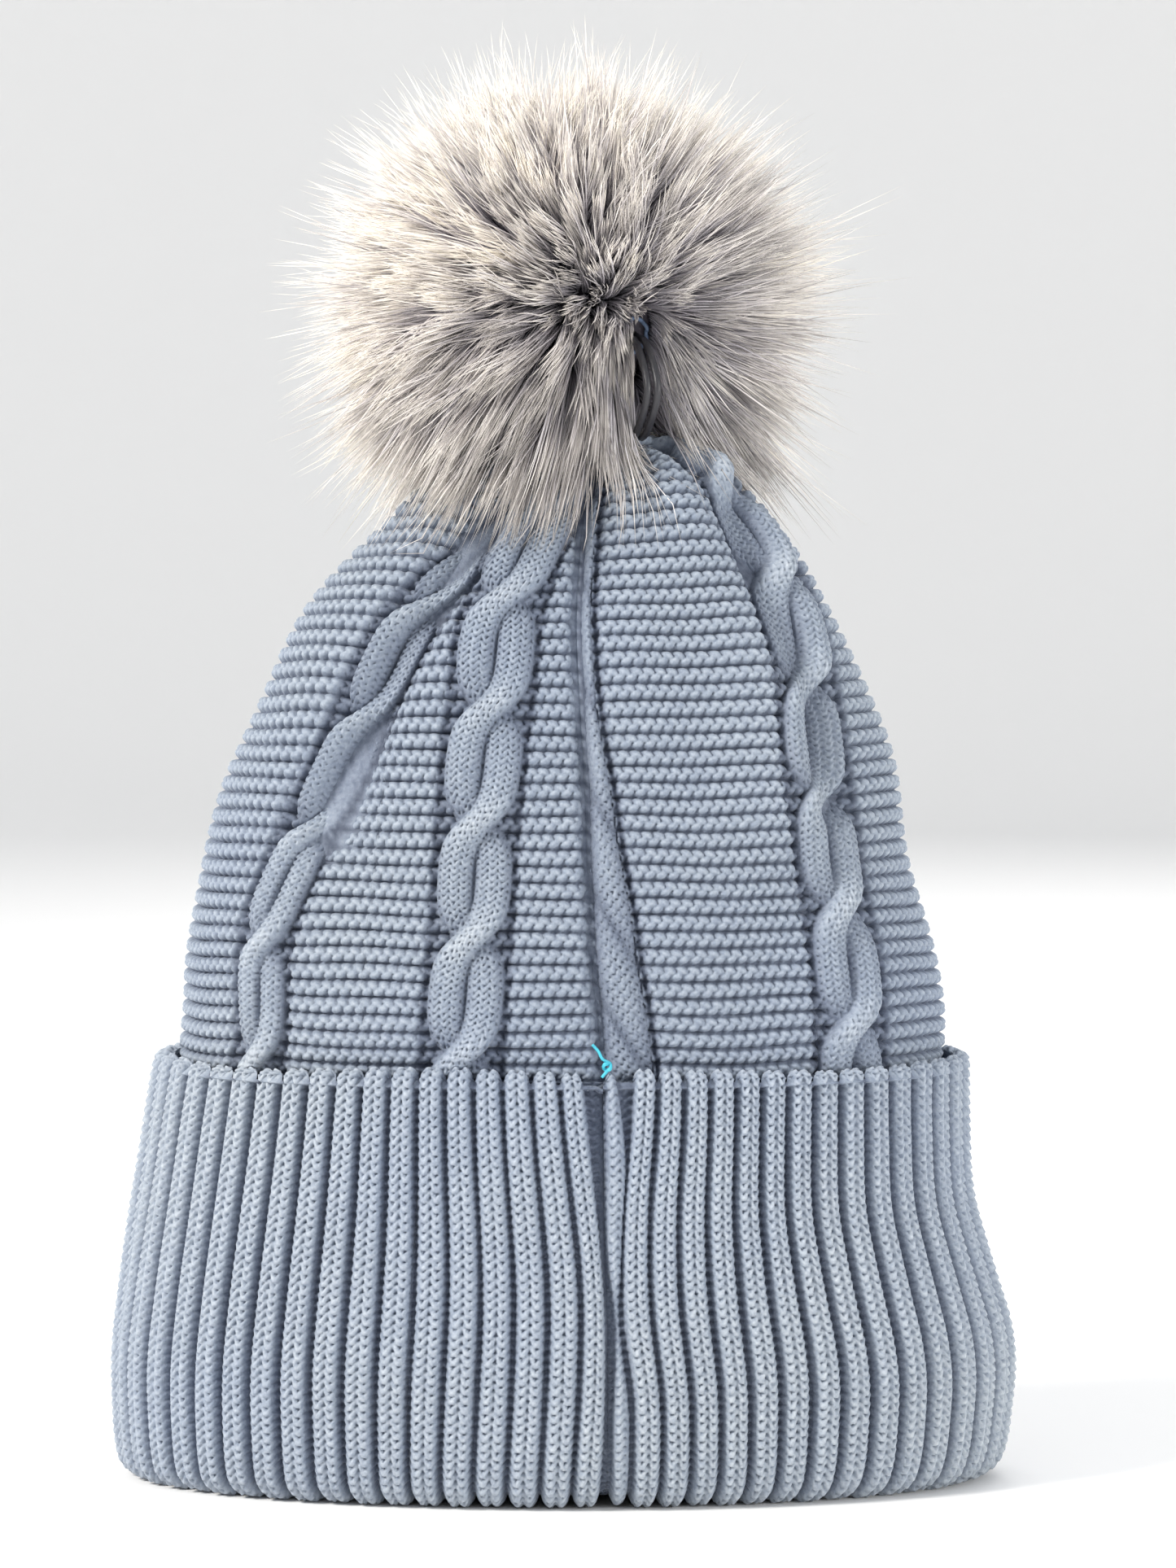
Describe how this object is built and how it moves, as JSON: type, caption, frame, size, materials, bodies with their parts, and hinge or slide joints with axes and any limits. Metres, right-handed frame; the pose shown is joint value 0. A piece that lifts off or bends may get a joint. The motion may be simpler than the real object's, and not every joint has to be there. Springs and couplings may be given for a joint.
{
  "type": "knitted beanie with pom",
  "caption": "Cable-knit beanie with a turned-up ribbed cuff and a detachable faux-fur pom held by an elastic loop.",
  "frame": {"origin": "middle of the head opening, in the plane of the cuff's folded hem", "axes": "+Z from the head opening up to the crown, +X across the hat, -Y the side with the back seam"},
  "size_m": [0.2166, 0.1262, 0.338],
  "materials": {
    "knit_yarn": "soft plied acrylic yarn, slight lustre",
    "seam_thread": "plied sewing thread",
    "turquoise_thread": "plied sewing thread",
    "label_satin": "woven satin, blank",
    "button_plastic": "satin polyester",
    "black_elastic": "braided elastic cord",
    "backing_cloth": "knitted fur backing",
    "stuffing": "polyester fibre fill",
    "faux_fur": "long soft pile, pale lilac grey with cream tips"
  },
  "bodies": {
    "hat": {"rib_turned_up_cuff": "knit_yarn", "rib_inner_band": "knit_yarn", "knit_crown": "knit_yarn", "crown_gathering_yarn": "knit_yarn", "crown_seam_thread": "seam_thread", "rib_seam_thread": "seam_thread", "care_label": "label_satin", "seam_thread_knot": "turquoise_thread"},
    "loop": {"elastic_loop": "black_elastic"},
    "knot": {"loop_knot": "black_elastic", "pom_anchor_disc": "button_plastic"},
    "pom": {"pom_fur_pile": "faux_fur", "pom_backing": "backing_cloth", "pom_stuffing": "stuffing", "pom_closing_thread": "seam_thread"},
    "shank": {"button_thread": "seam_thread"},
    "button": {"inner_button": "button_plastic"}
  },
  "joints": [
    {"name": "pom_nod", "type": "hinge", "parent": "hat", "child": "loop", "pos_m": [0.016, -0.002, 0.246], "axis": [1, 0, 0], "range_deg": [-8, 38], "deforming": ["pom_fur_pile"]},
    {"name": "pom_sway", "type": "hinge", "parent": "loop", "child": "knot", "pos_m": [0.016, -0.002, 0.246], "axis": [0, 1, 0], "range_deg": [-16, 22], "deforming": ["elastic_loop"]},
    {"name": "pom_twist", "type": "hinge", "parent": "knot", "child": "pom", "pos_m": [0.016, -0.00045, 0.272], "axis": [0.5517, -0.7741, -0.3103], "range_deg": [-60, 60]},
    {"name": "button_tilt", "type": "hinge", "parent": "hat", "child": "shank", "pos_m": [0.016, -0.0178, 0.224], "axis": [1, 0, 0], "range_deg": [-5, 5]},
    {"name": "button_turn", "type": "hinge", "parent": "shank", "child": "button", "pos_m": [0.016, -0.012, 0.224], "axis": [0, 1, 0], "range_deg": [-45, 45]}
  ]
}
